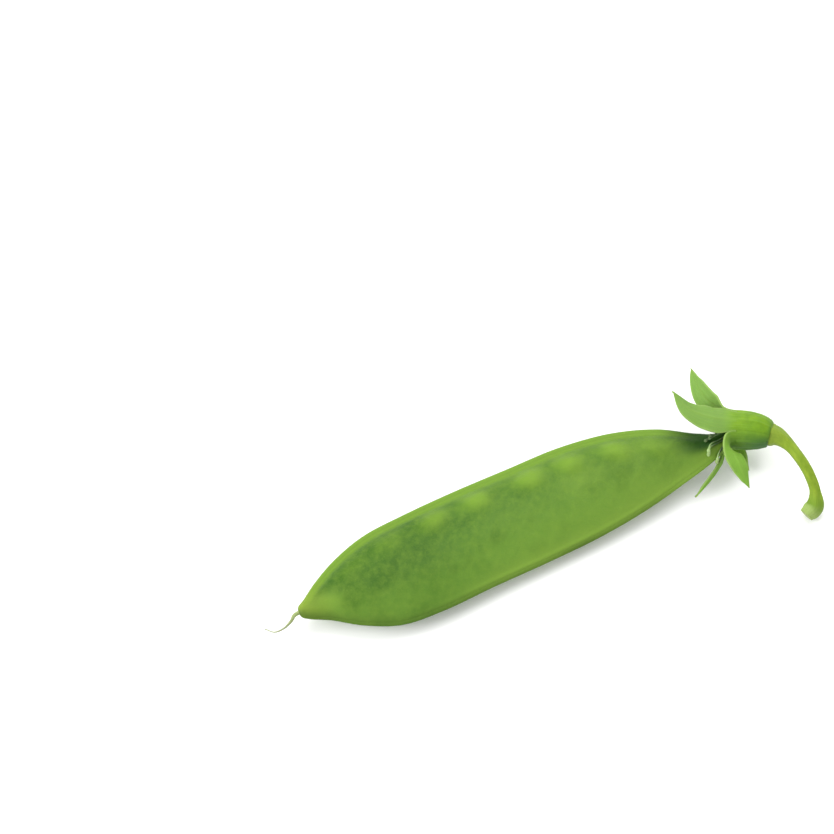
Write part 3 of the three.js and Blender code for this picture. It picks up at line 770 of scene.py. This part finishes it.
def stamenThread(k):
    # a fine thread that keeps off the pod, with a shrivelled anther at its end
    kind = k % len(stamens["threads"])
    route = stamens["threads"][kind]
    draw = np.random.default_rng(40 + k)
    turned, shortened, fanned = draw.uniform(-1.0, 1.0, 3)
    start = route[0][2] + stamens["rootScatter"] * turned
    places = [(root, stamens["radius"], start) for root in stamens["threadRoots"]]
    for step, (forward, out, angle) in enumerate(route):
        forward = forward * (1.0 - stamens["shorter"] * abs(shortened))
        angle = angle + stamens["scatter"] * turned + stamens["fan"] * fanned * step
        places.append((forward, out, angle))
    path = fromHead(np.array([lobePoint(*place) for place in places]))
    s = np.linspace(0.0, 1.0, stamens["threadRows"])
    centre, _, across, out = carriedFrames(path, (0.0, 1.0, 0.0), s)
    anther = np.exp(-((s - stamens["antherAt"]) / stamens["antherLength"]) ** 2)
    radius = stamens["threadRadius"] * (1.0 - stamens["threadTaper"] * s) + stamens["antherRise"] * anther
    radius = radius * np.sqrt(np.clip((1.0 - s) / stamens["roundEnd"], 0.05, 1.0))
    podSurface = podTop(centre[:, 0], centre[:, 1])
    centre[:, 2] = blendMax(centre[:, 2], podSurface + radius + stamens["clear"], stamens["fillet"])
    turn = angles(stamens["threadAround"])
    flat = stamens["flatness"] * np.cos(2.0 * turn + stamens["winding"] * s[:, None])
    spread = radius[:, None] * (1.0 + flat)
    grid = swept(centre, across, out, spread * np.cos(turn), spread * np.sin(turn))
    # painted shade inside the calyx along each thread up to its pale end, the whole length on the shaded
    # ones
    deepShade = np.maximum(1.0 - smooth(s, *stamens["deepTo"]), stamens["shaded"][kind])
    masks = {"age": 1.0 - stamens["antherAge"] + stamens["antherAge"] * anther, "deepShade": deepShade}
    masks = {key: np.broadcast_to(value[:, None], grid.shape[:2]) for key, value in masks.items()}
    return closedTube(grid, [centre[0], centre[-1]], masks)


def witheredPaper():
    f = Finish("witheredPaper")
    fibres = f.grain(0.5, 4.0, 0.7)
    color = f.blend(f.range(fibres, 0.3, 0.7), paint(180, 216, 134), paint(154, 190, 106))
    # paler with age towards the ends, then painted shade inside the calyx
    color = f.tinted(color, [("age", 0.35, (196, 220, 148)), ("deepShade", 0.9, (40, 72, 28))])
    rough = f.range(fibres, 0.3, 0.7, 0.6, 0.85)
    return f.finish(color, rough, f.bump(fibres, 0.04), Subsurface_Weight=0.1, Subsurface_Scale=0.5 * mm)


threads = [stamenThread(k) for k in range(len(stamens["threads"]) * stamens["copies"])]
dress(putMesh("withered_stamens", [stamenSheath(), *threads]), "stamens", witheredPaper())
print("stamens grown")


stem = {
    # the centre line after the straight start at the calyx
    "route": [
        (52.4, -4.8, 7.0), (53.2, -8.0, 6.8), (53.8, -11.2, 5.5), (53.9, -14.0, 3.75), (53.0, -16.1, 2.2),
        (50.9, -16.9, 1.5),
    ],
    "gap": 0.3, "straight": 1.1, "sunk": 1.3, "radius": 1.0,
    "collar": 2.05, "collarTo": 0.3, "collarPower": 2.0,
    "knob": 1.7, "knobAt": (0.7, 0.9), "endBevel": 0.35, "bevelAt": (0.93, 1.0),
    # relief round the stem, as shares of its radius: ridges and fine lines that wind along it, and dents
    "ridges": 5, "ridgeHeight": 0.05, "ridgeFade": 0.5, "lines": 22, "lineHeight": 0.012, "winding": 0.8,
    "dent": 0.05, "dentSize": 1.6, "dentRun": 4.0,
    # the cut face: its sunken middle and the ends of its fibres
    "cutDepth": 0.12, "fibre": 0.12, "fibreSize": 0.7, "fibresFrom": (0.02, 0.2), "cutPaint": (0.0, 0.12),
    "knobPaint": (0.68, 0.9), "collarPaint": (0.02, 0.2), "scarPaint": (0.85, 0.96),
    "rings": 230, "around": 120, "sunkRings": 8, "cutRings": 18, "cutMiddle": 0.06,
}


def stemSkin():
    # a ridged tube with a collar at the calyx, a swollen hooked end and a fibrous cut
    start = calyx["cupLength"] + stem["gap"]
    ends = fromHead(bentBack([[0.0, 0.0, start], [0.0, 0.0, start + stem["straight"]]]))
    path = np.array([*ends, *stem["route"]])
    share = np.linspace(0.0, 1.0, stem["rings"])
    centre, ahead, across, out = carriedFrames(path, (0.0, 0.0, 1.0), share)
    taper = np.maximum(0.0, 1.0 - share / stem["collarTo"]) ** stem["collarPower"]
    radius = stem["radius"] + (stem["collar"] - stem["radius"]) * taper
    knob = smooth(share, *stem["knobAt"])
    radius += (stem["knob"] - stem["radius"]) * knob - stem["endBevel"] * smooth(share, *stem["bevelAt"])

    # rings sunk into the cup before the stem, and rings of the cut face after it
    sunk = np.linspace(stem["sunk"], 0.0, stem["sunkRings"])[:-1]
    cut = np.linspace(1.0, stem["cutMiddle"], stem["cutRings"])[1:]
    before, after = len(sunk), len(cut)
    centre = np.concatenate([centre[0] - sunk[:, None] * ahead[0], centre, np.repeat(centre[-1:], after, 0)])
    across, out, ahead = (np.pad(way, ((before, after), (0, 0)), "edge") for way in (across, out, ahead))
    radius = np.concatenate([np.full(before, radius[0]), radius, radius[-1] * cut])
    share = np.pad(share, (before, after), "edge")[:, None]
    inside = np.concatenate([np.zeros(before + stem["rings"]), 1.0 - cut])[:, None]

    turn = angles(stem["around"])
    wound = turn + stem["winding"] * share
    ridge = np.cos(stem["ridges"] * wound) * (1.0 - stem["ridgeFade"] * smooth(share, *stem["knobAt"]))
    dents = stem["dent"] * ripple(stem["dentRun"] * share, turn, stem["dentSize"], seed=31)
    lines = stem["lineHeight"] * np.cos(stem["lines"] * wound)
    spread = radius[:, None] * (1.0 + stem["ridgeHeight"] * ridge + dents + lines)
    aside, rise = spread * np.cos(turn), spread * np.sin(turn)
    fibres = stem["fibre"] * ripple(aside, rise, stem["fibreSize"], seed=33) - stem["cutDepth"]
    fibres = fibres * smooth(inside, *stem["fibresFrom"])
    grid = swept(centre, across, out, aside, rise) + ahead[:, None] * fibres[..., None]
    masks = {
        "groove": 0.5 - 0.5 * ridge,
        "collar": 1.0 - smooth(share, *stem["collarPaint"]) + 0.0 * turn,
        "knob": smooth(share, *stem["knobPaint"]) + 0.0 * turn,
        "scar": smooth(share, *stem["scarPaint"]) + 0.0 * turn,
        "cut": smooth(inside, *stem["cutPaint"]) + 0.0 * turn,
    }
    return closedTube(grid, [centre[0], centre[-1] - stem["cutDepth"] * ahead[-1]], masks)


def stemGreen():
    f = Finish("stemGreen")
    streaks = f.grain(1.2, 4.0, 0.6, f.stretched((1.6, 0.35, 1.6)))
    speckle = f.grain(0.3, 2.0, 0.6)
    color = f.blend(f.range(streaks, 0.35, 0.65), paint(138, 168, 48), paint(162, 188, 60))
    color = f.tinted(color, [
        ("groove", 0.25, (116, 154, 50)), ("collar", 0.5, (150, 178, 72)), ("knob", 0.7, (122, 160, 56)),
        ("scar", 0.75, (178, 202, 118)), ("cut", 1.0, (178, 192, 128)),
    ])
    rough = f.range(streaks, 0.3, 0.7, 0.42, 0.55)
    return f.finish(color, rough, f.bump(speckle, 0.02), Subsurface_Weight=0.1, Subsurface_Scale=0.8 * mm,
                    Subsurface_Radius=leafRadius, Specular_IOR_Level=0.08)


dress(putMesh("stem_skin", [stemSkin()]), "stem", stemGreen())
print("stem grown")


style = {
    # the centre line after the beak
    "route": [(-44.2, -1.0, 3.5), (-45.6, -1.5, 3.0), (-47.4, -1.4, 2.4), (-49.0, 0.2, 1.9)],
    "radius": 0.3, "gap": 0.3, "sunk": 1.0, "rings": 160, "around": 24,
    # thick at its foot, as a share of the radius, and thinner by this much at the tip
    "foot": 1.35, "thinning": 0.75, "thinnedAt": 0.9, "roundEnd": 0.03, "ageAt": (0.1, 0.9),
    "kink": 0.07, "kinkFrom": (0.2, 0.4), "kinkRun": 9.0, "kinkSize": 2.2,
    "flatness": 0.3, "flatFrom": (0.15, 0.5), "winding": 3.0,
    "wrinkle": 0.08, "wrinkleRun": 7.0, "wrinkleSize": 1.2,
}


def styleSkin():
    # a dried thread that starts thick in the beak, flattens, kinks and thins to its tip
    beak, height = pod["outline"][0][:2]
    middle = middleHeight(beak, height)
    ends = [(beak + style["sunk"], height, middle), (beak - style["radius"] - style["gap"], height, middle)]
    share = np.linspace(0.0, 1.0, style["rings"])
    centre, _, across, out = carriedFrames(np.array([*ends, *style["route"]]), (0.0, 0.0, 1.0), share)
    radius = style["radius"] * (style["foot"] - style["thinning"] * smooth(share, 0.0, style["thinnedAt"]))
    radius = radius * np.sqrt(np.clip((1.0 - share) / style["roundEnd"], 0.03, 1.0))
    kink = ripple(style["kinkRun"] * share, 0.0 * share, style["kinkSize"], seed=51)
    centre += across * (style["kink"] * smooth(share, *style["kinkFrom"]) * kink)[:, None]
    share = share[:, None]
    turn = angles(style["around"])
    wrinkles = ripple(style["wrinkleRun"] * share, turn, style["wrinkleSize"], seed=52)
    spread = radius[:, None] * (1.0 + style["wrinkle"] * wrinkles)
    flat = style["flatness"] * smooth(share, *style["flatFrom"])
    wound = turn + style["winding"] * share
    wide, thin = spread * (1.0 + flat), spread * (1.0 - flat)
    grid = swept(centre, across, out, wide * np.cos(wound), thin * np.sin(wound))
    return closedTube(grid, [centre[0], centre[-1]], {"age": smooth(share, *style["ageAt"]) + 0.0 * turn})


def driedThread():
    f = Finish("driedThread")
    fibres = f.grain(0.6, 4.0, 0.7)
    color = f.blend(f.mask("age"), paint(150, 172, 84), paint(176, 184, 150))
    color = f.blend(f.range(fibres, 0.4, 0.7, 0.0, 0.6), color, paint(206, 210, 176))
    rough = f.range(fibres, 0.3, 0.7, 0.6, 0.8)
    return f.finish(color, rough, f.bump(fibres, 0.03), Subsurface_Weight=0.1, Subsurface_Scale=0.5 * mm)


dress(putMesh("dried_style", [styleSkin()]), "style", driedThread())
print("style grown")


studio = {
    # the camera's angles, its distance from what it aims at, and its lens
    "azimuth": -22.506, "elevation": 64.0, "distance": 477.846, "aim": (-7.0764, 29.5641, 0.0),
    "lens": 110.0, "sensor": 36.0, "nearest": 10.0,
    "floorDrop": 0.03, "floorSize": 4000.0, "skyStrength": 0.95,
    # place, aim, side, watts
    "lights": {
        "keySoftbox": ((280.0, 480.0, 720.0), (0.0, 0.0, 0.0), 1000.0, 7.6),
        "fillSoftbox": ((-650.0, 150.0, 420.0), (0.0, 0.0, 0.0), 400.0, 5.0),
    },
}


def whiteFloor():
    # a hair below the pod's flat resting spot, so the two faces don't share one plane
    half, low = 0.5 * studio["floorSize"] * mm, -studio["floorDrop"] * mm
    corner = [(-half, -half, low), (half, -half, low), (half, half, low), (-half, half, low)]
    mesh = bpy.data.meshes.new("floor")
    mesh.from_pydata(corner, [], [(0, 1, 2, 3)])
    floor = putObject("floor", mesh)
    f = Finish("whitePaper")
    f.shader.inputs["Base Color"].default_value = (0.9, 0.9, 0.9, 1.0)
    f.shader.inputs["Roughness"].default_value = 0.9
    f.shader.inputs["Specular IOR Level"].default_value = 0.1
    mesh.materials.append(f.material)


def softbox(name, place, aim, side, watts):
    lamp = bpy.data.lights.new(name, "AREA")
    lamp.shape = "SQUARE"
    lamp.size = side * mm
    lamp.energy = watts
    light = putObject(name, lamp)
    light.location = Vector(place) * mm
    light.rotation_euler = (Vector(place) - Vector(aim)).to_track_quat("Z", "Y").to_euler()


def softSky():
    world = bpy.data.worlds.new("softSky")
    world.use_nodes = True
    sky = world.node_tree.nodes["Background"]
    sky.inputs["Color"].default_value = (1.0, 1.0, 1.0, 1.0)
    sky.inputs["Strength"].default_value = studio["skyStrength"]
    bpy.context.scene.world = world


def makeCamera():
    turn, rise = math.radians(studio["azimuth"]), math.radians(studio["elevation"])
    back = Vector((math.sin(turn) * math.cos(rise), -math.cos(turn) * math.cos(rise), math.sin(rise)))
    lens = bpy.data.cameras.new("camera")
    lens.lens = studio["lens"]
    lens.sensor_width = studio["sensor"]
    lens.clip_start = studio["nearest"] * mm
    camera = putObject("camera", lens)
    camera.location = (Vector(studio["aim"]) + back * studio["distance"]) * mm
    camera.rotation_euler = back.to_track_quat("Z", "Y").to_euler()
    bpy.context.scene.camera = camera


whiteFloor()
for name, settings in studio["lights"].items():
    softbox(name, *settings)
softSky()
makeCamera()
bpy.context.scene.view_settings.view_transform = "Standard"
print("studio set")
